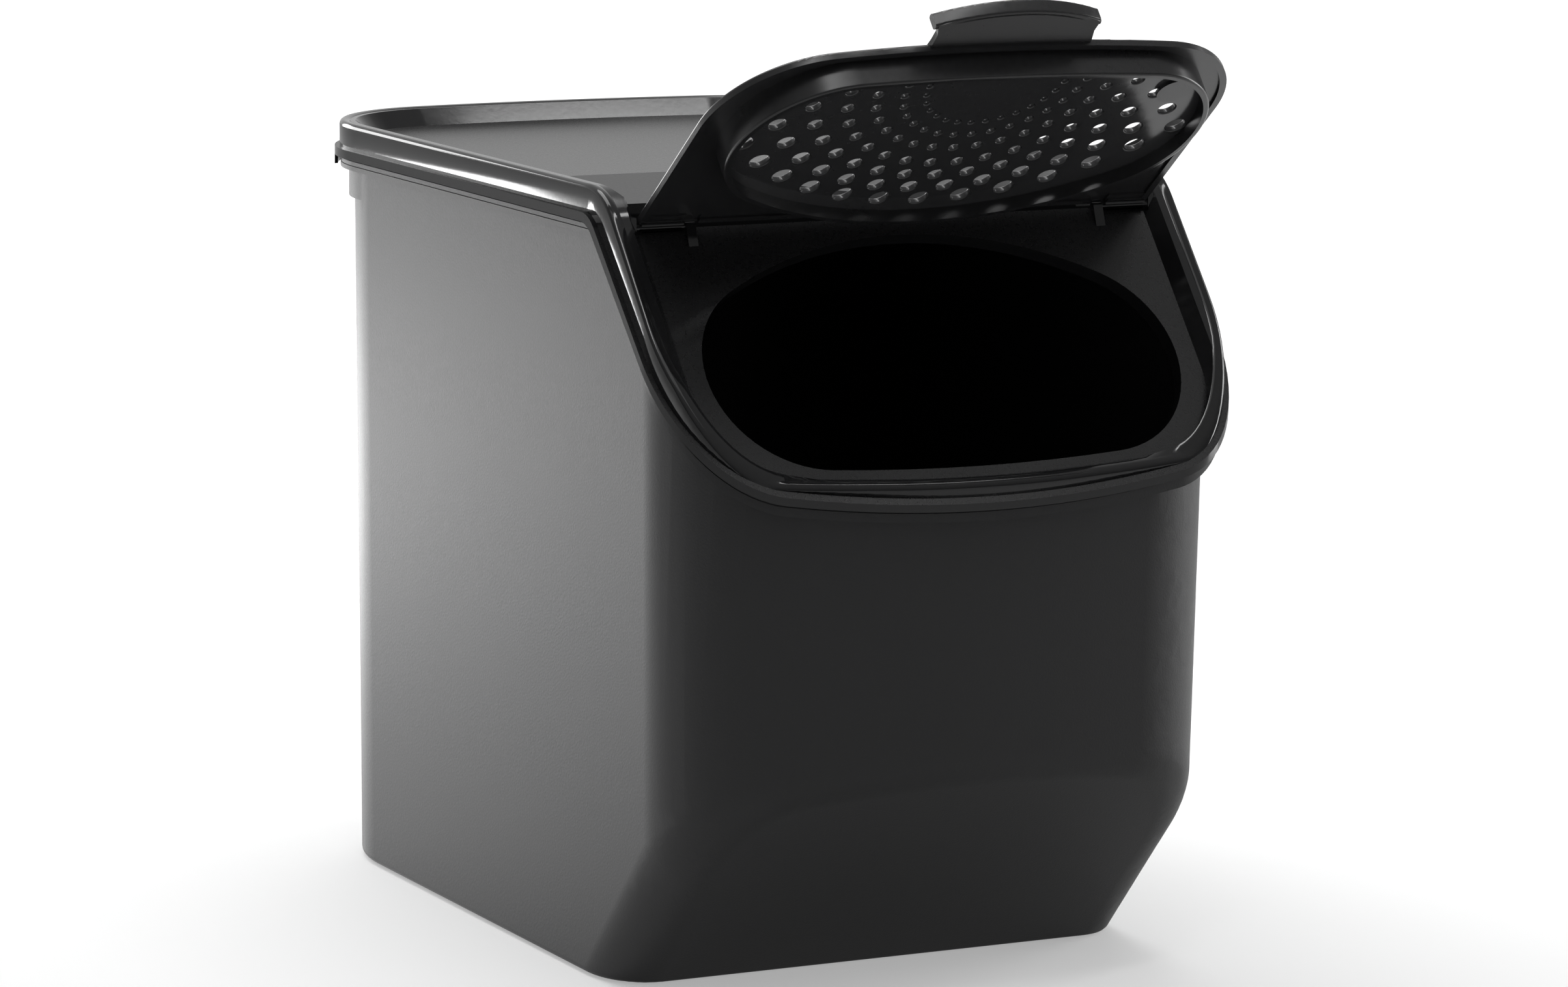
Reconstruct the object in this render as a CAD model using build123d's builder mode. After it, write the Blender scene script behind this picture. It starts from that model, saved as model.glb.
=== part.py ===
from build123d import *
import os
from math import atan, cos, degrees, hypot, radians, sin

os.makedirs("parts", exist_ok=True)

# Potato storage bin: an open container, a cover that lifts off, and a flap hinged on the cover.
# Millimetres, +Z up, the front of the bin faces -Y. Origin on the floor, in the middle of the plan.

# ---- driving dimensions --------------------------------------------------------------------
RIM_W = 96.0          # half width of the container's rim, from which all plan outlines grow
RIM_Y = 154.6         # rim, half length at the middle of front and rear
R_FRONT, R_REAR = 34.0, 48.0        # plan corners of the rim
BOW_FRONT, BOW_REAR = 490.0, 470.0  # large radii of the bowed front and rear walls
WALL = 2.0            # wall of the container
DRAFT = 0.7           # moulding draft of the container, degrees
BASE_GROW = -5.1      # base outline against the rim outline
SOFTER_FRONT, SOFTER_REAR = 9.5, 8.0    # the tub's own corners are rounder than the rim's
RIM_Z = 232.6         # top of the container's rim
GAP = 0.8             # parting gap between rim and cover
FOLD_Y = -78.0        # where the rim turns from level into the slope
RIM_SLOPE = 1.035     # rise of the sloped rim per mm of y
CREST_Z = 244.3       # top of the cover's border
FLOOR_Z = 239.0       # recessed top panel
HINGE_Y, HINGE_Z = -91.0, 232.7     # hinge line of the flap
SLOPE = 49.96         # slope of the front panel, degrees below the horizontal
REST = 141.0          # direction of the opened flap, degrees from +Y towards +Z
PIN_D, BORE_D, CLIP_D = 1.6, 1.72, 2.9
TAB_W = 27.0          # half width of the thumb tab
MOUTH_X, MOUTH_T, MOUTH_R = 46.0, 52.5, 34.0   # side circles of the mouth, T runs down the slope
MOUTH_TOP, MOUTH_BOTTOM = 125.0, 600.0         # radii of its upper and lower arcs
FACET_Y, FACET_SLOPE = 85.1, 1.108  # foot of the sloping lower front, and its rise per mm
# strainer holes: arc radius, T of its centre, holes, half angle, hole diameter
HOLE_ARCS = ((22.8, 79.4, 15, 84, 1.9), (29.9, 79.9, 16, 87, 2.5), (39.3, 82.4, 15, 77, 3.2),
             (48.5, 83.5, 16, 81, 3.9), (61.2, 89.5, 15, 70, 4.7), (75.8, 97.6, 14, 60, 5.5),
             (94.1, 109.4, 13, 51, 6.3))


# ---- shared outlines ------------------------------------------------------------------------
def plan(grow, softer_front=0.0, softer_rear=0.0):
    # plan outline of the bin, offset outwards by grow from the rim; its corners may be rounder
    w, y = RIM_W + grow, RIM_Y + grow
    fr, rr = BOW_FRONT + grow, BOW_REAR + grow
    yf, yr = -y + fr - (fr**2 - w**2) ** 0.5, y - rr + (rr**2 - w**2) ** 0.5
    with BuildLine() as path:
        ThreePointArc((-w, yf), (0, -y), (w, yf))
        Line((w, yf), (w, yr))
        ThreePointArc((w, yr), (0, y), (-w, yr))
        Line((-w, yr), (-w, yf))
    make_face(path.edges())
    fillet(vertices().group_by(Axis.Y)[0], R_FRONT + grow + softer_front)
    fillet(vertices().group_by(Axis.Y)[-1], R_REAR + grow + softer_rear)


def profile(*points):
    # closed outline drawn on the side view (y, z)
    with BuildLine() as path:
        Polyline(*points, close=True)
    make_face(path.edges())


def oval(grow):
    # mouth outline in slope coordinates, grown outwards; four arcs tangent to each other
    r, top, low = MOUTH_R + grow, MOUTH_TOP + grow, MOUTH_BOTTOM + grow
    ct, cl = 6.0 + MOUTH_TOP, 88.4 - MOUTH_BOTTOM
    dt, dl = hypot(MOUTH_X, ct - MOUTH_T), hypot(MOUTH_X, MOUTH_T - cl)
    xt, yt = MOUTH_X / dt * top, -(ct - (ct - MOUTH_T) / dt * top)
    xl, yl = MOUTH_X / dl * low, -(cl + (MOUTH_T - cl) / dl * low)
    with BuildLine() as path:
        ThreePointArc((-xt, yt), (0, -6.0 + grow), (xt, yt))
        ThreePointArc((xt, yt), (MOUTH_X + r, -MOUTH_T), (xl, yl))
        ThreePointArc((xl, yl), (0, -88.4 - grow), (-xl, yl))
        ThreePointArc((-xl, yl), (-MOUTH_X - r, -MOUTH_T), (-xt, yt))
    make_face(path.edges())


def apron(half_w, t_top, t_front, r_front, r_bow, r_top=0.0):
    # outline on the slope: straight sides, bowed front edge, straight upper edge
    t_side = t_front - (r_bow - (r_bow**2 - half_w**2) ** 0.5)
    with BuildLine() as path:
        ThreePointArc((-half_w, -t_side), (0, -t_front), (half_w, -t_side))
        Line((half_w, -t_side), (half_w, -t_top))
        Line((half_w, -t_top), (-half_w, -t_top))
        Line((-half_w, -t_top), (-half_w, -t_side))
    make_face(path.edges())
    fillet(vertices().group_by(Axis.Y)[0], r_front)
    if r_top:
        fillet(vertices().group_by(Axis.Y)[-1], r_top)


def rim_z(y, lift):
    # height of the sloped rim line, lifted normal to itself
    return RIM_SLOPE * y + RIM_Z - RIM_SLOPE * FOLD_Y + lift * hypot(1, RIM_SLOPE)


def band(low, high, y_end=-175.0, high_end=None):
    # side view of a band that follows the rim: level, then down the slope
    fold = FOLD_Y
    with BuildLine() as path:
        hi = rim_z(y_end, high if high_end is None else high_end)
        Polyline((175, RIM_Z + low), (175, RIM_Z + high), (fold - 0.4 * high, RIM_Z + high),
                 (y_end, hi), (y_end, rim_z(y_end, low)), (fold - 0.4 * low, RIM_Z + low), close=True)
    make_face(path.edges())
    fillet(vertices().sort_by_distance((fold - 0.4 * high, RIM_Z + high))[0], 12)
    fillet(vertices().sort_by_distance((fold - 0.4 * low, RIM_Z + low))[0], 12 - (high - low) * 0.3)


slope_n = (0, -sin(radians(SLOPE)), cos(radians(SLOPE)))
slope = Plane(origin=(0, HINGE_Y, HINGE_Z), x_dir=(1, 0, 0), z_dir=slope_n)
rest = Plane(origin=(0, HINGE_Y, HINGE_Z), x_dir=(1, 0, 0),
             z_dir=(0, sin(radians(REST)), -cos(radians(REST))))

# ---- container ------------------------------------------------------------------------------
# Drafted tub with a sloping lower front, a ledge round its rim and a thin upstand for the cover.
def tub(inset):
    # outer form for inset 0, the hollow for inset = wall
    with BuildPart() as form:
        with BuildSketch(Plane.XY.offset(inset)):
            plan(BASE_GROW - inset, SOFTER_FRONT, SOFTER_REAR)
        extrude(amount=250 - inset, taper=-DRAFT)
        with BuildSketch(Plane.YZ):
            lift = inset * hypot(1, FACET_SLOPE)
            profile((-FACET_Y, lift - 1), (-FACET_Y - 90, 90 * FACET_SLOPE - 1 + lift),
                    (-FACET_Y - 90, -9), (-FACET_Y, -9))
        extrude(amount=130, both=True, mode=Mode.SUBTRACT)
        facet = faces().filter_by(GeomType.PLANE).sort_by(Axis.Y)[0]
        fillet([e for e in facet.edges() if e.center().Z > inset + 1], 17 - inset)
        fillet(faces().sort_by(Axis.Z)[0].edges(), 2.4 - inset / 2)
    return form.part


with BuildPart() as ledge:
    with BuildSketch(Plane.XY.offset(100)):
        plan(0)
    extrude(amount=160)
    with BuildSketch(Plane.YZ):
        band(-3.0, 0)
    extrude(amount=130, both=True, mode=Mode.INTERSECT)

with BuildPart() as upstand:
    with BuildSketch(Plane.XY.offset(100)):
        plan(-2.7)
    extrude(amount=160)
    with BuildSketch(Plane.YZ):
        profile((175, 220), (175, 238), (-76, 238), (-128, rim_z(-128, 0)), (-128, rim_z(-128, -2.6)), (-76, 220))
    extrude(amount=130, both=True, mode=Mode.INTERSECT)
    with BuildSketch(Plane.XY.offset(100)):
        plan(-4.2)
    extrude(amount=160, mode=Mode.SUBTRACT)

with BuildPart() as rebate:
    with BuildSketch(Plane.XY.offset(100)):
        plan(-3.6)
    extrude(amount=160)
    with BuildSketch(Plane.YZ):
        profile((-122, rim_z(-122, -2)), (-175, rim_z(-175, -2)), (-175, 260), (-122, 260))
    extrude(amount=130, both=True, mode=Mode.INTERSECT)

with BuildPart() as container:
    add(tub(0))
    with BuildSketch(Plane.YZ):
        profile((175, RIM_Z), (FOLD_Y, RIM_Z), (-175, rim_z(-175, 0)), (-175, 260), (175, 260))
    extrude(amount=130, both=True, mode=Mode.SUBTRACT)
    add(ledge.part)
    add(upstand.part)
    add(tub(WALL), mode=Mode.SUBTRACT)
    # the front of the rim is thinned inside, where the cover's sloped panel dips into it
    add(rebate.part, mode=Mode.SUBTRACT)
container.part.label = "container"
export_step(container.part, "parts/container.step")


# ---- cover ----------------------------------------------------------------------------------
# Flange, hollow raised border, recessed top panel, hinge trough and a sloped panel with the mouth.
with BuildPart() as cover_form:
    with BuildSketch(Plane.XY.offset(100)):
        plan(0)
    extrude(amount=160)
    with BuildSketch(Plane.YZ):
        profile((175, RIM_Z + GAP), (175, CREST_Z), (-85, CREST_Z), (-130, 190.85), (-148.4, 163.7),
                (-156, 159.9), (-156, rim_z(-156, GAP)), (FOLD_Y - 0.4, RIM_Z + GAP))
        fillet(vertices().sort_by_distance((-85, CREST_Z))[0], 24)
        fillet(vertices().sort_by_distance((-130, 190.85))[0], 40)
        fillet(vertices().sort_by_distance((-148.4, 163.7))[0], 4)
    extrude(amount=130, both=True, mode=Mode.INTERSECT)


def recess(drop):
    # space above the panels; with drop = sheet thickness, the same space grown by it
    grow = drop * 0.34
    with BuildPart() as level:
        with BuildSketch(Plane.XY.offset(FLOOR_Z - drop)):
            plan(-9.2 + grow)
        extrude(amount=12, taper=-40)
        split(bisect_by=Plane(origin=(0, -92, 0), z_dir=(0, 1, 0)))
        with BuildSketch(slope.offset(-1.3 - drop)):
            apron(86.8 + grow, -16, 93 + grow, 31, 600)
        extrude(amount=12, taper=-40)
        with BuildSketch(Plane.YZ):
            profile((-82 + drop, 250), (-82 + drop, 226 - drop), (-88.2 - 2 * drop, 226 - drop),
                    (-88.2 - 2 * drop, 231.2), (-89.8 - 2 * drop, 232.1), (-89.8 - 2 * drop, 250))
        extrude(amount=88 + drop * 0.9, both=True)
    return level.part


with BuildPart() as channel:
    with BuildSketch(Plane.XY.offset(100)):
        plan(-1.9)
    extrude(amount=160)
    with BuildSketch(Plane.YZ):
        profile((175, 100), (175, CREST_Z - 2), (-84, CREST_Z - 2), (-128, 190), (-147, 162.4),
                (-153.5, 158.9), (-160, 150), (-160, 100))
        fillet(vertices().sort_by_distance((-84, CREST_Z - 2))[0], 22)
    extrude(amount=130, both=True, mode=Mode.INTERSECT)
    add(recess(1.9), mode=Mode.SUBTRACT)

with BuildPart() as panel:
    with BuildSketch(Plane.XY.offset(200)):
        plan(-8.4)
    extrude(amount=60)
    with BuildSketch(Plane.YZ):
        profile((175, FLOOR_Z), (-9, FLOOR_Z), (-82, 237.8), (-82, 226), (-88.2, 226), (-88.2, 231.2),
                (-89.8, 232.1), (-93.87, 227.27), (-92.33, 225.98), (-90.4, 224), (-80, 224),
                (-80, 235.8), (-9, FLOOR_Z - 2), (175, FLOOR_Z - 2))
    extrude(amount=89, both=True, mode=Mode.INTERSECT)
    with BuildSketch(slope.offset(-3.3)):
        apron(87.4, 5, 92.6, 31, 600)
    extrude(amount=2)
    for side in (-1, 1):
        with BuildSketch(Plane.YZ.offset(side * 88.9)):
            profile((-80, 224), (-80, 236), (-92, 236), (-92, 224))
        extrude(amount=0.9, both=True)

with BuildSketch(Plane.XY.offset(RIM_Z + GAP - 3.2)) as grip_hollow:
    plan(0.9)
    with Locations((0, -80)):
        Rectangle(220, 404)

with BuildPart() as flange:
    with BuildSketch(Plane.XY.offset(100)):
        plan(2)
    extrude(amount=160)
    with BuildSketch(Plane.XY.offset(100)):
        plan(-1.0)
    extrude(amount=160, mode=Mode.SUBTRACT)
    with BuildSketch(Plane.YZ):
        band(GAP, GAP + 2.9, high_end=GAP + 1.3)
    extrude(amount=130, both=True, mode=Mode.INTERSECT)
    # along the rear the flange turns down into a grip
    with BuildSketch(Plane.XY.offset(RIM_Z + GAP - 3.2)):
        plan(2)
        add(grip_hollow.sketch, mode=Mode.SUBTRACT)
    extrude(amount=4)

# neck of the mouth: it reaches into the bin and ends outside in a small raised lip
with BuildPart() as neck:
    with BuildSketch(slope.offset(-6.3)):
        oval(3.0)
    extrude(amount=6.3)
    fillet(faces().sort_by(Axis(slope.origin, slope.z_dir))[-1].edges(), 0.7)

with BuildPart() as cover:
    add(cover_form.part)
    add(recess(0), mode=Mode.SUBTRACT)
    add(channel.part, mode=Mode.SUBTRACT)
    add(panel.part)
    add(flange.part)
    add(neck.part)
    with BuildSketch(slope.offset(-12)):
        oval(0)
    extrude(amount=30, mode=Mode.SUBTRACT)
    # hinge: a pocket behind the clips, a low rounded post and a pin on each side
    for side in (-1, 1):
        with Locations(Location((side * 79.8, HINGE_Y, HINGE_Z))):
            Cylinder(2.2, 16.4, rotation=(0, 90, 0), mode=Mode.SUBTRACT)
        with Locations(Location((side * 79.8, HINGE_Y + 1.6, HINGE_Z))):
            Box(16.4, 2.4, 8.4, mode=Mode.SUBTRACT)
        with BuildSketch(Plane(origin=(side * 70, HINGE_Y, HINGE_Z), x_dir=slope.y_dir, z_dir=(1, 0, 0))):
            with BuildLine():
                ThreePointArc((1.2, 0), (0.6, 1.04), (-0.6, 1.04))
                Polyline((-0.6, 1.04), (-6.5, -1.2), (-6.5, -2.4), (0.2, -1.8), (1.2, 0))
            make_face()
        extrude(amount=1.6, both=True)
        with Locations(Location((side * 79.5, HINGE_Y, HINGE_Z))):
            Cylinder(PIN_D / 2, 19, rotation=(0, 90, 0))
cover.part.label = "cover"
export_step(cover.part, "parts/cover.step")


# ---- flap -----------------------------------------------------------------------------------
# Drawn in its own plane through the hinge line: x across, y up towards the hinge, z out of the
# outer face. Side views of the flap use (y, z) of that plane.
across = Plane(origin=rest.origin, x_dir=rest.y_dir, z_dir=(1, 0, 0))

# thumb tab: a sheet that rises over the cover's border and ends in a bowed finger lip
with BuildPart() as tab:
    with BuildSketch(rest):
        with BuildLine():
            Polyline((-TAB_W, -98.4), (-TAB_W + 0.8, -95), (-TAB_W, -89), (TAB_W, -89), (TAB_W - 0.8, -95),
                     (TAB_W, -98.4))
            ThreePointArc((TAB_W, -98.4), (0, -104.3), (-TAB_W, -98.4))
        make_face()
    extrude(amount=9)
    with BuildSketch(across):
        profile((-88, 1.2), (-92, 1.7), (-106, 5.0), (-106, 6.8), (-92, 3.5), (-88, 3.0))
    extrude(amount=40, both=True, mode=Mode.INTERSECT)

with BuildPart() as finger_lip:
    with BuildSketch(rest.offset(3.4)):
        for radius, mode in ((0, Mode.ADD), (2.3, Mode.SUBTRACT)):
            with BuildLine() as path:
                ThreePointArc((TAB_W + 0.6, -98.4 + radius), (0, -104.4 + radius), (-TAB_W - 0.6, -98.4 + radius))
                Polyline((-TAB_W - 0.6, -98.4 + radius), (-TAB_W - 0.6, -95.8 + radius),
                         (TAB_W + 0.6, -95.8 + radius), (TAB_W + 0.6, -98.4 + radius))
            make_face(path.edges(), mode=mode)
    extrude(amount=4.9)
    fillet(edges().filter_by(lambda e: abs(e.center().X) < 5 and e.length > 40), 0.9)

with BuildPart() as flap:
    # rim plate with a down-turned edge
    with BuildSketch(rest.offset(0.4)):
        apron(87.3, 0.8, 91, 35, 500, 1.5)
    extrude(amount=2.6)
    fillet(faces().sort_by(SortBy.AREA)[-2:].sort_by(Axis.Z)[-1].edges(), 1.0)
    with BuildSketch(rest.offset(0.4)):
        apron(85.1, 2.8, 88.8, 32.8, 500)
    extrude(amount=0.8, mode=Mode.SUBTRACT)
    # ring that plugs the mouth, with the dished strainer plate in it
    with BuildSketch(rest.offset(-7.6)):
        oval(-1.0)
    extrude(amount=9)
    fillet(faces().filter_by(lambda f: abs((f.center() - rest.origin).dot(rest.z_dir) + 7.6) < 0.01).edges(), 0.8)
    with BuildSketch(rest.offset(-7.6)):
        oval(-3.0)
    extrude(amount=12, mode=Mode.SUBTRACT)
    with BuildSketch(rest.offset(-3.4)):
        oval(-2.5)
    extrude(amount=2)
    # nested arcs of holes, larger towards the hinge
    for radius, centre, count, half, size in HOLE_ARCS:
        with BuildSketch(rest.offset(-6)):
            for i in range(count):
                a = radians(-half + 2 * half * i / (count - 1))
                with Locations((radius * sin(a), radius * cos(a) - centre)):
                    RegularPolygon(size / 2, 12)
        extrude(amount=6, mode=Mode.SUBTRACT)
    # low round boss at one end of the plate
    with BuildSketch(rest.offset(-4.6)):
        with Locations((62.5, -71)):
            Circle(5.6)
    extrude(amount=1.4)
    # snap clips round the cover's pins, each on an arm of the rim plate
    for side in (-1, 1):
        with BuildSketch(rest.offset(0.3)):
            with Locations((side * 70.2, -2)):
                Rectangle(5.8, 5)
        extrude(amount=1.2, mode=Mode.SUBTRACT)
        end = Plane(origin=across.origin + Vector(side * 79.5, 0, 0), x_dir=rest.y_dir, z_dir=(1, 0, 0))
        with BuildSketch(end):
            RectangleRounded(CLIP_D, CLIP_D, 0.5, rotation=40)
            with BuildLine():
                Polyline((0.3, 0), (0.3, 2.8), (0, 3), (-5, 3), (-5, 0.8), (-1.4, 0.8), (-1.4, 0), close=True)
            make_face()
        extrude(amount=6.9, both=True)
        with BuildSketch(end):
            Circle(BORE_D / 2)
            with Locations(Location((-2 * cos(radians(40)), -2 * sin(radians(40)), 0), (0, 0, 40))):
                Rectangle(4, 1.2)
        extrude(amount=8, both=True, mode=Mode.SUBTRACT)
    add(tab.part)
    add(finger_lip.part)
flap.part.label = "flap"
export_step(flap.part, "parts/flap.step")
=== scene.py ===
import bpy, bmesh
from math import asin, atan2, cos, radians, sin
from mathutils import Matrix, Vector


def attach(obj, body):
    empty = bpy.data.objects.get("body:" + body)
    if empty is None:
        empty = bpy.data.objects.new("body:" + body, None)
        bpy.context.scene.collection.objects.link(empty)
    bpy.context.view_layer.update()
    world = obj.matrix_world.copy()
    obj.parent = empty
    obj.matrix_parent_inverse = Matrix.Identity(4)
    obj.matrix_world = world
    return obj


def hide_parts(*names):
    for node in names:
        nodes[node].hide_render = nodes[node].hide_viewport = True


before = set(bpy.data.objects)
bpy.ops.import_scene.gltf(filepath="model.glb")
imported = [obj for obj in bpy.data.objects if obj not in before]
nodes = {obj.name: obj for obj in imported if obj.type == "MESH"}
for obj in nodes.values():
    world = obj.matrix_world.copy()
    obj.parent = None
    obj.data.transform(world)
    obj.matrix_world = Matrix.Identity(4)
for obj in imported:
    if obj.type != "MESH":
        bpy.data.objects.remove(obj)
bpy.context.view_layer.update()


# ---- container ----
# The open tub, with drafted walls, a sloping lower front and a ledge round the rim that carries the cover.
# Black polypropylene, injection moulded in one piece; the spark-eroded mould leaves a fine satin grain.
# It stands on its own flat foot. A narrow groove runs round the ledge, close under the cover's flange.
rim_z, rim_slope, fold_y = 0.2326, 1.035, -0.078     # the rim is level behind fold_y and slopes in front
ledge_low, ledge_high = -0.0062, 0.0003     # the ledge's outer edge, measured from the rim
groove_top, groove_bottom = -0.00125, -0.00155
groove_depth, groove_lean = 0.0005, 0.00002
groove_slack = 0.00002      # how far a corner may lie outside the groove's two levels
fold_mitre = Vector((0, 0.9, 0.41))     # across the ledge where its level and sloping parts meet
container_round = 0.0002


def new_node(tree, kind, inputs=None, **settings):
    # adds one shader node with its settings and the values of its unlinked inputs
    node = tree.nodes.new(kind)
    for name, value in settings.items():
        setattr(node, name, value)
    for name, value in (inputs or {}).items():
        node.inputs[name].default_value = value
    return node


def ramp(tree, value, start, end, low, high, curve="LINEAR"):
    # goes from low to high while the value goes from start to end
    node = new_node(tree, "ShaderNodeMapRange", {"From Min": start, "From Max": end, "To Min": low, "To Max": high},
                    interpolation_type=curve)
    tree.links.new(value, node.inputs["Value"])
    return node.outputs["Result"]


def moulded_grain():
    # the mould's texture on top of a slow unevenness of the wall, as a normal; the grain also as a mask
    group = bpy.data.node_groups.new("moulded_grain", "ShaderNodeTree")
    for name in ("Scale", "Depth", "Wave"):
        group.interface.new_socket(name, in_out="INPUT", socket_type="NodeSocketFloat")
    group.interface.new_socket("Normal", in_out="OUTPUT", socket_type="NodeSocketVector")
    group.interface.new_socket("Mask", in_out="OUTPUT", socket_type="NodeSocketFloat")
    link = group.links.new
    given, result = new_node(group, "NodeGroupInput"), new_node(group, "NodeGroupOutput")
    place = new_node(group, "ShaderNodeTexCoord")
    grain = new_node(group, "ShaderNodeTexNoise", {"Detail": 3})
    swell = new_node(group, "ShaderNodeTexNoise", {"Scale": 14, "Detail": 1})
    fine = new_node(group, "ShaderNodeBump", {"Distance": 0.0002})
    broad = new_node(group, "ShaderNodeBump", {"Distance": 0.004})
    link(place.outputs["Object"], grain.inputs["Vector"])
    link(place.outputs["Object"], swell.inputs["Vector"])
    link(given.outputs["Scale"], grain.inputs["Scale"])
    link(given.outputs["Depth"], fine.inputs["Strength"])
    link(grain.outputs["Fac"], fine.inputs["Height"])
    link(given.outputs["Wave"], broad.inputs["Strength"])
    link(swell.outputs["Fac"], broad.inputs["Height"])
    link(fine.outputs["Normal"], broad.inputs["Normal"])
    link(broad.outputs["Normal"], result.inputs["Normal"])
    link(grain.outputs["Fac"], result.inputs["Mask"])
    return group


grain_group = moulded_grain()


def plastic(name, colour, roughness, scale, depth, wave, gloss=0.5):
    # moulded plastic whose colour and roughness change a little with the grain
    refraction, darker, lighter = 1.49, 0.8, 1.25
    mat = bpy.data.materials.new(name)
    mat.use_nodes = True
    tree, link = mat.node_tree, mat.node_tree.links.new
    shader = tree.nodes["Principled BSDF"]
    shader.inputs["IOR"].default_value = refraction
    shader.inputs["Specular IOR Level"].default_value = gloss
    grain = new_node(tree, "ShaderNodeGroup", {"Scale": scale, "Depth": depth, "Wave": wave}, node_tree=grain_group)
    tint = new_node(tree, "ShaderNodeMix", {"A": (*[c * darker for c in colour], 1),
                                            "B": (*[c * lighter for c in colour], 1)}, data_type="RGBA")
    link(grain.outputs["Mask"], tint.inputs["Factor"])
    link(tint.outputs["Result"], shader.inputs["Base Color"])
    link(ramp(tree, grain.outputs["Mask"], 0, 1, *roughness), shader.inputs["Roughness"])
    link(grain.outputs["Normal"], shader.inputs["Normal"])
    return mat


def rim_height(y):
    # height of the container's rim at y
    return rim_z + min(0, rim_slope * (y - fold_y))


def merged_copy(node):
    # the moulding's own surface, with its doubled vertices merged and its flat faces joined
    weld, sliver, flat = 1.5e-5, 1e-5, radians(0.4)
    bm = bmesh.new()
    bm.from_mesh(nodes[node].data)
    bmesh.ops.remove_doubles(bm, verts=bm.verts, dist=weld)
    bmesh.ops.dissolve_degenerate(bm, edges=bm.edges, dist=sliver)
    bmesh.ops.dissolve_limit(bm, angle_limit=flat, verts=bm.verts, edges=bm.edges)
    return bm


def sharp_edges(bm, angle=22):
    # edges at which the surface turns by more than so many degrees
    return [e for e in bm.edges if len(e.link_faces) == 2 and e.calc_face_angle(0) > radians(angle)]


def round_edges(bm, edges, radius, segments=2):
    # rounds the edges as a mould leaves them
    bmesh.ops.bevel(bm, geom=edges, offset=radius, offset_type="OFFSET", segments=segments, profile=0.5,
                    affect="EDGES", clamp_overlap=True, material=-1)


def cut_faces(bm, faces, point, normal):
    # one straight cut across the faces
    edges = list({e for f in faces for e in f.edges})
    bmesh.ops.bisect_plane(bm, geom=faces + edges, dist=1e-6, plane_co=point, plane_no=normal)


def add_piece(bm, name, body, materials, node=None):
    # makes the finished object, which rides on its body and may take the place of the plain moulding
    data = bpy.data.meshes.new(name)
    bm.to_mesh(data)
    bm.free()
    for mat in materials:
        data.materials.append(mat)
    data.polygons.foreach_set("use_smooth", [True] * len(data.polygons))
    piece = bpy.data.objects.new(name, data)
    bpy.context.scene.collection.objects.link(piece)
    even = piece.modifiers.new("even_normals", "WEIGHTED_NORMAL")
    even.weight, even.keep_sharp, even.mode = 100, True, "FACE_AREA"
    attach(piece, body)
    if node:
        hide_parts(node)


container_black = plastic("container_black", (0.015, 0.015, 0.0157), (0.50, 0.62), 1500, 0.25, 0.015)
tub = merged_copy("container")
fold_point = Vector((0, fold_y, rim_z))


def ledge_faces(low, high):
    # upright outer faces of the ledge, with all corners between two heights measured from the rim
    return [f for f in tub.faces if abs(f.normal.z) < 0.03 and f.normal.dot(f.calc_center_median()) > 0.05
            and all(low < v.co.z - rim_height(v.co.y) < high for v in f.verts)]


cut_faces(tub, ledge_faces(ledge_low, ledge_high), fold_point, fold_mitre)
for level in (groove_top, groove_bottom):
    # side 1 is the level part behind the fold, side -1 the sloping part in front of it
    for side, slope in ((1, 0), (-1, rim_slope)):
        part = [f for f in ledge_faces(ledge_low, ledge_high)
                if side * (f.calc_center_median() - fold_point).dot(fold_mitre) > 0]
        cut_faces(tub, part, (0, fold_y, rim_z + level), Vector((0, -slope, 1)).normalized())
groove = ledge_faces(groove_bottom - groove_slack, groove_top + groove_slack)
bmesh.ops.inset_region(tub, faces=groove, thickness=groove_lean, depth=-groove_depth, use_even_offset=True,
                       use_boundary=True)
round_edges(tub, sharp_edges(tub), container_round)
add_piece(tub, "container_tub", "container", [container_black], "container")


# ---- cover ----
# The lid that lifts off: flange, hollow border, recessed top panel, hinge trough and the sloping front with
# the oval mouth. One black polypropylene moulding, polished in the mould on the border and satin on the
# panels. It rests on the container's ledge, and the container's upstand centres it.
hinge_y, hinge_z, front_slope = -0.091, 0.2327, radians(49.96)
panel_low, panel_high = 0.2375, 0.2392      # levels between which the recessed top panel lies
panel_front, strip_end = -0.083, -0.009     # its front strip ends at strip_end and is duller
front_start, front_below = -0.088, 0.0008   # the sloping panel starts here, that far below the hinge line
cover_round = 0.0005

cover_gloss = plastic("cover_gloss", (0.010, 0.010, 0.0105), (0.07, 0.11), 500, 0.02, 0.015)
cover_satin = plastic("cover_satin", (0.012, 0.012, 0.0125), (0.24, 0.32), 900, 0.06, 0.02)
cover_front = plastic("cover_front", (0.010, 0.010, 0.0105), (0.34, 0.42), 900, 0.06, 0.02, 0.24)
lid = merged_copy("cover")
panel = [f for f in lid.faces if f.normal.z > 0.98 and panel_low < f.calc_center_median().z < panel_high]
cut_faces(lid, panel, (0, strip_end, 0), (0, 1, 0))
round_edges(lid, sharp_edges(lid), cover_round)
slope_normal = Vector((0, -sin(front_slope), cos(front_slope)))
hinge_point = Vector((0, hinge_y, hinge_z))
for f in lid.faces:
    middle = f.calc_center_median()
    on_top = abs(f.normal.z) > 0.98 and middle.z < panel_high and middle.y > panel_front
    on_front = (f.normal.dot(slope_normal) > 0.98 and middle.y < front_start
                and (middle - hinge_point).dot(slope_normal) < -front_below)
    if on_front or on_top and middle.y > strip_end:
        f.material_index = 1
    elif on_top:
        f.material_index = 2
add_piece(lid, "cover_lid", "cover", [cover_gloss, cover_satin, cover_front], "cover")


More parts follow.
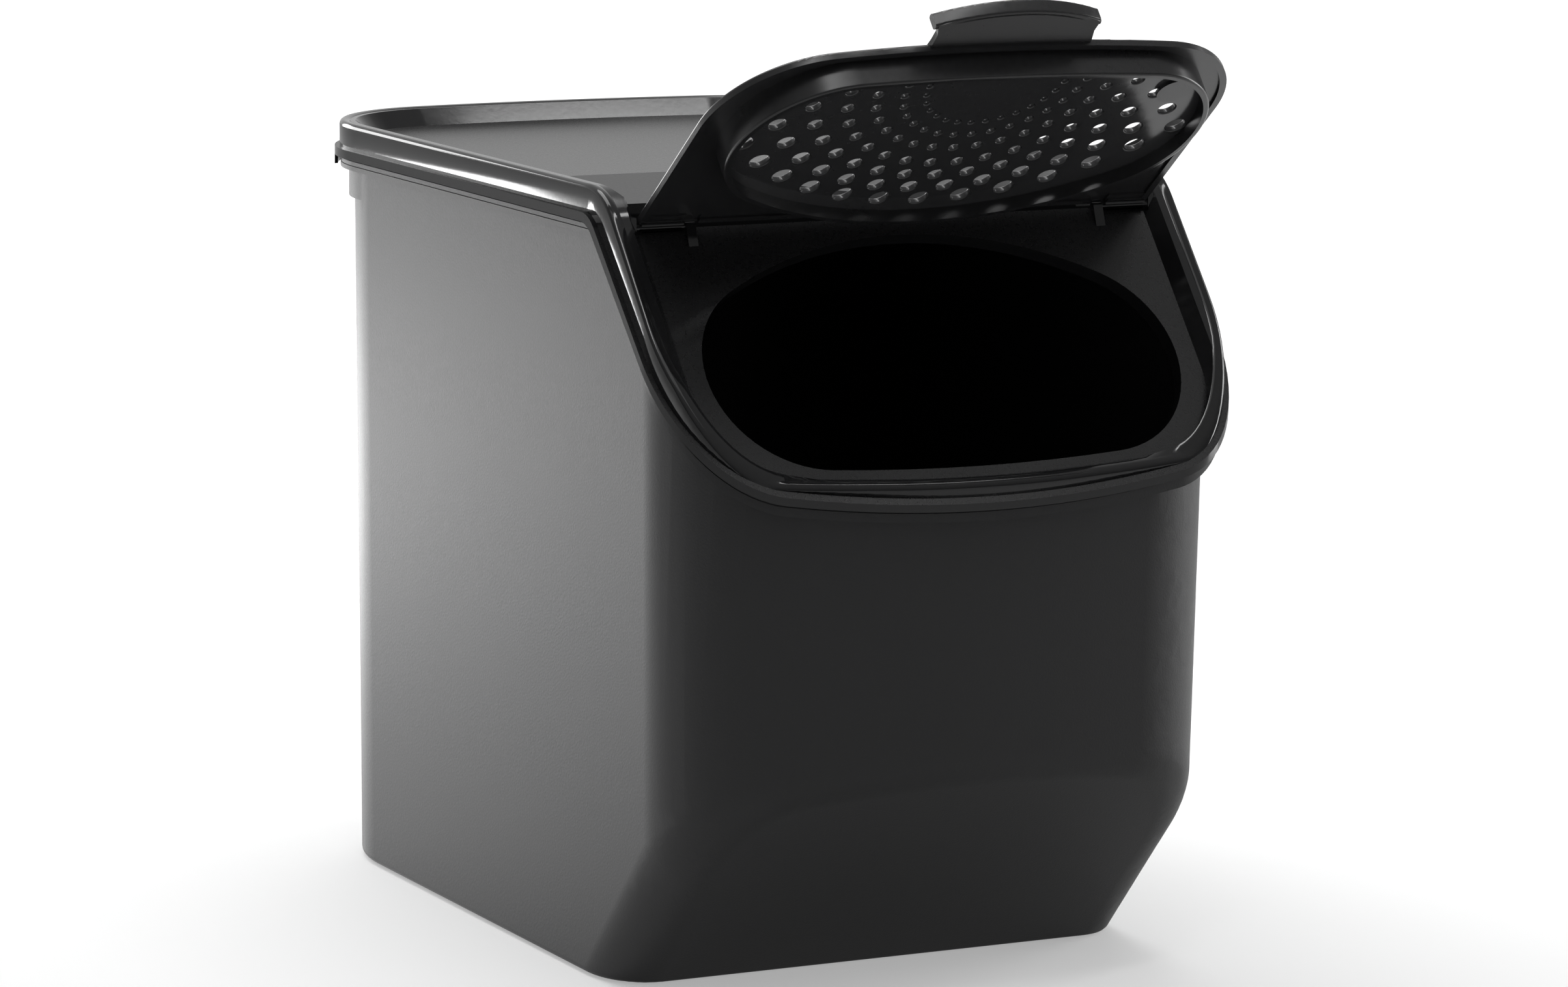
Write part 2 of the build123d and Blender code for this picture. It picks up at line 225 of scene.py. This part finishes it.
# ---- border bead ----
# The rounded outer edge of the cover's border, a quarter round on an upright wall that runs right round the lid. It
# is part of the cover's moulding and just as polished; it follows the border down the sloping front.
half_width = 0.096
front_bow, front_bow_y = 0.490, 0.3354      # radius of the bowed front, and where its centre lies
rear_bow, rear_bow_y = 0.470, -0.3154
front_corner_x, front_corner_y, front_corner = 0.062, -0.11637, 0.034
rear_corner_x, rear_corner_y, rear_corner = 0.048, 0.10386, 0.048
tab_dip, tab_reach = 0.0002, 0.036      # it dips a little in front, under the closed flap's thumb tab
crest_z = 0.2443
bend, bend_y, bend_z, bend_end = 0.024, -0.07383, 0.2203, -0.0922
knee_y, knee_z, slope_rise, steep_rise = -0.130, 0.19085, 1.1878, 1.4755    # steeper below the knee
nose_y, nose_z, nose_rise = -0.1484, 0.1637, 0.5
bead_radius, bead_inset = 0.0015, -0.00106


def arc_of_vertices(bm, first, centre, angle, steps):
    # turns one vertex round a centre and leaves a chain of edges behind it
    made = bmesh.ops.spin(bm, geom=[first], cent=(*centre, 0), axis=(0, 0, 1), dvec=(0, 0, 0), angle=angle,
                          steps=steps, use_duplicate=False)
    return [g for g in made["geom_last"] if isinstance(g, bmesh.types.BMVert)][0]


def crest_height(y):
    # top of the border: level, round bend, slope, steeper end of the slope, short nose
    if y > bend_y:
        return crest_z
    if y > bend_end:
        return bend_z + (bend ** 2 - (y - bend_y) ** 2) ** 0.5
    if y > knee_y:
        return knee_z + (y - knee_y) * slope_rise
    return max(knee_z + (y - knee_y) * steep_rise, nose_z + (y - nose_y) * nose_rise)


def border_outline(grow, base, rise):
    # closed row of vertices on the border's plan, offset outwards by grow and lying rise above base(y)
    bm = bmesh.new()
    front_half = asin(front_corner_x / (front_bow - front_corner))
    rear_half = asin(rear_corner_x / (rear_bow - rear_corner))
    front, quarter = front_bow + grow, radians(90)
    v = bm.verts.new((-front * sin(front_half), front_bow_y - front * cos(front_half), 0))
    v = arc_of_vertices(bm, v, (0, front_bow_y), 2 * front_half, 24)
    v = arc_of_vertices(bm, v, (front_corner_x, front_corner_y), quarter - front_half, 18)
    side_end = bm.verts.new((half_width + grow, rear_corner_y, 0))
    bm.edges.new((v, side_end))
    v = arc_of_vertices(bm, side_end, (rear_corner_x, rear_corner_y), quarter - rear_half, 18)
    v = arc_of_vertices(bm, v, (0, rear_bow_y), 2 * rear_half, 20)
    v = arc_of_vertices(bm, v, (-rear_corner_x, rear_corner_y), quarter - rear_half, 18)
    side_end = bm.verts.new((-half_width - grow, front_corner_y, 0))
    bm.edges.new((v, side_end))
    arc_of_vertices(bm, side_end, (-front_corner_x, front_corner_y), quarter - front_half, 18)
    bmesh.ops.remove_doubles(bm, verts=bm.verts, dist=2e-6)
    sides = [e for e in bm.edges if e.calc_length() > half_width]
    bmesh.ops.subdivide_edges(bm, edges=sides, cuts=110)
    for v in bm.verts:
        dip = tab_dip * max(0, 1 - (v.co.x / tab_reach) ** 4) if v.co.y < 0 else 0
        v.co.z = base(v.co.y) + rise - dip
    return bm


# upright outer wall, quarter round, flat top, inner wall, and back under it to the foot
rows = [(0.00040, rim_height, 0.0037), (0.00044, crest_height, bead_inset)]
rows += [(bead_inset + bead_radius * cos(radians(t)), crest_height, bead_inset + bead_radius * sin(radians(t)))
         for t in (22, 45, 67, 90)]
rows += [(-0.0020, crest_height, 0.00030), (-0.0031, crest_height, 0.00003), (-0.0032, crest_height, -0.0005),
         (-0.0012, crest_height, -0.0012), (-0.0006, rim_height, 0.0038)]
bead = bmesh.new()
for grow, base, rise in rows:
    row = border_outline(grow, base, rise)
    row_data = bpy.data.meshes.new("row")
    row.to_mesh(row_data)
    row.free()
    bead.from_mesh(row_data)
    bpy.data.meshes.remove(row_data)
bead.edges.ensure_lookup_table()
per_row = len(bead.edges) // len(rows)
for i in range(len(rows)):
    j = (i + 1) % len(rows)
    pair = bead.edges[i * per_row:(i + 1) * per_row] + bead.edges[j * per_row:(j + 1) * per_row]
    bmesh.ops.bridge_loops(bead, edges=pair)
    bead.edges.ensure_lookup_table()
bmesh.ops.recalc_face_normals(bead, faces=bead.faces)
add_piece(bead, "border_bead", "cover", [cover_gloss])


# ---- flap ----
# Rim plate with a down-turned edge, plug ring, two snap clips and the thumb tab, in one black polypropylene
# moulding a little glossier than the container. The clips snap over the two pins of the cover's trough.
# Its perforated plate is made apart, in the next section.
open_turn = radians(141)        # where the opened flap stands, turned from the rear upwards and over
plate_low, plate_high = -0.00345, -0.00135      # the perforated plate lies between these, from the rim plate
flap_round = 0.0003

flap_black = plastic("flap_black", (0.018, 0.018, 0.0188), (0.20, 0.28), 500, 0.04, 0.02)
flap_out = Vector((0, sin(open_turn), -cos(open_turn)))
flap_along = Vector((0, -cos(open_turn), -sin(open_turn)))
flap_place = Matrix(((1, 0, 0, 0), (0, flap_along.y, flap_out.y, hinge_y), (0, flap_along.z, flap_out.z, hinge_z),
                     (0, 0, 0, 1)))
rim = merged_copy("flap")
height = {v: (v.co - hinge_point).dot(flap_out) for v in rim.verts}
plate_faces = [f for f in rim.faces if all(plate_low < height[v] < plate_high for v in f.verts)]
bmesh.ops.delete(rim, geom=plate_faces, context="FACES")
round_edges(rim, sharp_edges(rim), flap_round)
add_piece(rim, "flap_rim", "flap", [flap_black], "flap")


# ---- strainer plate ----
# The thin perforated plate inside the flap's plug ring, moulded in one with it from the same black
# polypropylene. Seven nested arcs of holes with softly rounded lips surround a bare middle near the tab.
plate_under, plate_thick, plate_inset = -0.0034, 0.002, -0.0026
oval_x, oval_y, oval_end = 0.046, -0.0525, 0.034     # centres and radius of the oval's two ends
oval_top, oval_top_y = 0.125, -0.131    # radius of its bowed upper edge, and where that centre lies
oval_low, oval_low_y = 0.600, 0.5116
lip_round, lip_segments, hole_sides = 0.00045, 3, 20
# in mm and degrees: radius of the arc, distance of its centre, holes, half angle, diameter of a hole
hole_arcs = ((22.8, 79.4, 15, 84, 1.9), (29.9, 79.9, 16, 87, 2.5), (39.3, 82.4, 15, 77, 3.2),
             (48.5, 83.5, 16, 81, 3.9), (61.2, 89.5, 15, 70, 4.7), (75.8, 97.6, 14, 60, 5.5),
             (94.1, 109.4, 13, 51, 6.3))


def mouth_outline(bm, grow, steps=24):
    # the oval that mouth, plug ring and plate share: two round ends, bowed upper and lower edges
    top = oval_top + grow
    top_half, low_half = atan2(oval_x, oval_y - oval_top_y), atan2(oval_x, oval_low_y - oval_y)
    end_turn = radians(180) - top_half - low_half
    v = bm.verts.new((-top * sin(top_half), oval_top_y + top * cos(top_half), 0))
    v = arc_of_vertices(bm, v, (0, oval_top_y), -2 * top_half, steps)
    v = arc_of_vertices(bm, v, (oval_x, oval_y), -end_turn, steps)
    v = arc_of_vertices(bm, v, (0, oval_low_y), -2 * low_half, steps)
    v = arc_of_vertices(bm, v, (-oval_x, oval_y), -end_turn, steps)
    bmesh.ops.remove_doubles(bm, verts=bm.verts, dist=1e-6)


# the plate's black is painted nearly twice as light as the flap's own: painted light for the light that falls on
# and through the perforated plate
strainer_painted_light = plastic("strainer_painted_light", (0.032, 0.032, 0.033), (0.12, 0.18), 700, 0.03, 0.02)
strainer = bmesh.new()
mouth_outline(strainer, plate_inset)
for radius, centre, count, half, diameter in hole_arcs:
    for i in range(count):
        turn = radians(-half + 2 * half * i / (count - 1))
        spot = Matrix.Translation((radius * sin(turn) / 1000, (radius * cos(turn) - centre) / 1000, 0))
        bmesh.ops.create_circle(strainer, cap_ends=False, segments=hole_sides, radius=diameter / 2000, matrix=spot)
bmesh.ops.triangle_fill(strainer, use_beauty=True, use_dissolve=False, edges=strainer.edges)
bmesh.ops.translate(strainer, vec=(0, 0, plate_under), verts=strainer.verts)
upper = bmesh.ops.extrude_face_region(strainer, geom=strainer.faces[:])
bmesh.ops.translate(strainer, vec=(0, 0, plate_thick),
                    verts=[g for g in upper["geom"] if isinstance(g, bmesh.types.BMVert)])
bmesh.ops.recalc_face_normals(strainer, faces=strainer.faces)
round_edges(strainer, sharp_edges(strainer, 60), lip_round, lip_segments)
bmesh.ops.transform(strainer, matrix=flap_place, verts=strainer.verts)
add_piece(strainer, "flap_strainer", "flap", [strainer_painted_light])


# ---- studio ----
# Matte pale paper under the bin, in a room that is pale behind it and dim in front, so that black plastic
# keeps its tone. Six soft boxes draw the edges; the camera stands in front of the bin, a little to the left.
floor_half, floor_z = 7, -0.0005
pale_behind = (0.15, 0.85)      # brightness of the room in front of the bin and behind it
ceiling_glow = 0.28


def combine(tree, operation, first, second):
    # one Math node on two outputs
    node = new_node(tree, "ShaderNodeMath", operation=operation)
    tree.links.new(first, node.inputs[0])
    tree.links.new(second, node.inputs[1])
    return node.outputs[0]


def floor_paper():
    # matte paper that keeps the shadow; further out it is lifted so that it stays evenly pale
    mat = bpy.data.materials.new("floor_paper")
    mat.use_nodes = True
    tree, link = mat.node_tree, mat.node_tree.links.new
    tree.nodes.clear()
    out, both = new_node(tree, "ShaderNodeOutputMaterial"), new_node(tree, "ShaderNodeAddShader")
    paper = new_node(tree, "ShaderNodeBsdfDiffuse", {"Color": (0.62, 0.62, 0.62, 1)})
    glow, path = new_node(tree, "ShaderNodeEmission"), new_node(tree, "ShaderNodeLightPath")
    place, axes = new_node(tree, "ShaderNodeTexCoord"), new_node(tree, "ShaderNodeSeparateXYZ")
    far = new_node(tree, "ShaderNodeVectorMath", operation="LENGTH")
    link(place.outputs["Object"], far.inputs[0])
    link(place.outputs["Object"], axes.inputs[0])
    lift = ramp(tree, far.outputs["Value"], 0.2, 2.6, 0.36, 0.90, "SMOOTHSTEP")
    # glossy surfaces see a pale pool of light beside and behind the bin that fades further away
    pool = ramp(tree, far.outputs["Value"], 0.5, 1.1, 1.2, 0.1)
    rear = ramp(tree, axes.outputs["Y"], -0.15, 0.15, 0, 1)
    seen_glossy = combine(tree, "MULTIPLY", combine(tree, "MULTIPLY", pool, rear), path.outputs["Is Glossy Ray"])
    seen_directly = combine(tree, "MULTIPLY", lift, path.outputs["Is Camera Ray"])
    link(combine(tree, "ADD", seen_glossy, seen_directly), glow.inputs["Strength"])
    link(paper.outputs[0], both.inputs[0])
    link(glow.outputs[0], both.inputs[1])
    link(both.outputs[0], out.inputs["Surface"])
    return mat


floor_sheet = bmesh.new()
bmesh.ops.create_grid(floor_sheet, x_segments=1, y_segments=1, size=floor_half)
bmesh.ops.translate(floor_sheet, vec=(0, 0, floor_z), verts=floor_sheet.verts)
floor_data = bpy.data.meshes.new("floor")
floor_sheet.to_mesh(floor_data)
floor_sheet.free()
floor_data.materials.append(floor_paper())
floor = bpy.data.objects.new("floor", floor_data)
bpy.context.scene.collection.objects.link(floor)

world = bpy.data.worlds.new("studio")
bpy.context.scene.world = world
world.use_nodes = True
sky, link = world.node_tree, world.node_tree.links.new
sky.nodes.clear()
out, path = new_node(sky, "ShaderNodeOutputWorld"), new_node(sky, "ShaderNodeLightPath")
place, mix = new_node(sky, "ShaderNodeTexCoord"), new_node(sky, "ShaderNodeMixShader")
backwards = new_node(sky, "ShaderNodeVectorMath", {1: (-0.10, 0.99, 0.0)}, operation="DOT_PRODUCT")
upwards = new_node(sky, "ShaderNodeVectorMath", {1: (0, -0.25, 1)}, operation="DOT_PRODUCT")
link(place.outputs["Generated"], backwards.inputs[0])
link(place.outputs["Generated"], upwards.inputs[0])
behind = ramp(sky, backwards.outputs["Value"], 0.1, 0.8, *pale_behind, "SMOOTHSTEP")
ceiling = ramp(sky, upwards.outputs["Value"], 0.25, 0.95, 0, ceiling_glow, "SMOOTHSTEP")
room = new_node(sky, "ShaderNodeBackground")
white = new_node(sky, "ShaderNodeBackground", {"Color": (0.96, 0.96, 0.96, 1)})
link(combine(sky, "ADD", behind, ceiling), room.inputs["Strength"])
link(path.outputs["Is Camera Ray"], mix.inputs["Fac"])
link(room.outputs[0], mix.inputs[1])
link(white.outputs[0], mix.inputs[2])
link(mix.outputs[0], out.inputs["Surface"])


def soft_box(name, place, aim, size, power):
    # a rectangular lamp in metres and watts that the camera doesn't see
    light = bpy.data.lights.new(name, "AREA")
    light.shape, light.energy = "RECTANGLE", power
    light.size, light.size_y = size
    lamp = bpy.data.objects.new(name, light)
    bpy.context.scene.collection.objects.link(lamp)
    direction = Vector(aim) - Vector(place)
    lamp.matrix_world = Matrix.Translation(place) @ direction.to_track_quat("-Z", "Y").to_matrix().to_4x4()
    lamp.visible_camera = False


# two boxes behind give the left side its sheen, one below and one above what the polished border mirrors
soft_box("box_left_rear", (-0.20, 0.62, 0.055), (-0.12, 0.1, 0.03), (0.34, 0.125), 1.7)
soft_box("box_left_high", (-0.23, 0.64, 0.31), (-0.10, 0.10, 0.18), (0.28, 0.24), 1.3)
# a strip draws the front of the border, and one large box lights the panels from above
soft_box("strip_above", (0.15, -0.50, 1.6), (0, -0.12, 0.2), (1.4, 0.10), 3.5)
soft_box("box_above", (0.0, 0.6, 2.0), (0, 0.1, 0), (1.6, 1.2), 20)
# the right side and the front are filled from their own sides
soft_box("box_right", (1.1, -0.1, 0.35), (0.1, -0.1, 0.12), (0.35, 0.8), 4.8)
soft_box("box_front", (-0.3, -1.2, 2.6), (0, -0.1, 0.12), (1.6, 1.6), 6)

frame_width, focal_pixels, sensor_width = 2408, 9343.5, 36
yaw, pitch, roll = 0.4713, 0.1674, 0.0123
camera_place = (-0.8690, -1.7095, 0.4522)
level_right = Vector((cos(yaw), -sin(yaw), 0))
ahead = Vector((sin(yaw) * cos(pitch), cos(yaw) * cos(pitch), -sin(pitch)))
level_up = level_right.cross(ahead)
right = level_right * cos(roll) + level_up * sin(roll)
up = level_up * cos(roll) - level_right * sin(roll)
camera_data = bpy.data.cameras.new("camera")
camera_data.sensor_width = sensor_width
camera_data.lens = focal_pixels / frame_width * sensor_width
camera_data.shift_x, camera_data.shift_y = 0.0135, 0.0101
camera_data.clip_start, camera_data.clip_end = 0.05, 50
camera = bpy.data.objects.new("camera", camera_data)
bpy.context.scene.collection.objects.link(camera)
camera.matrix_world = Matrix.Translation(camera_place) @ Matrix((right, up, -ahead)).transposed().to_4x4()
bpy.context.scene.camera = camera
bpy.context.scene.view_settings.view_transform = "Standard"
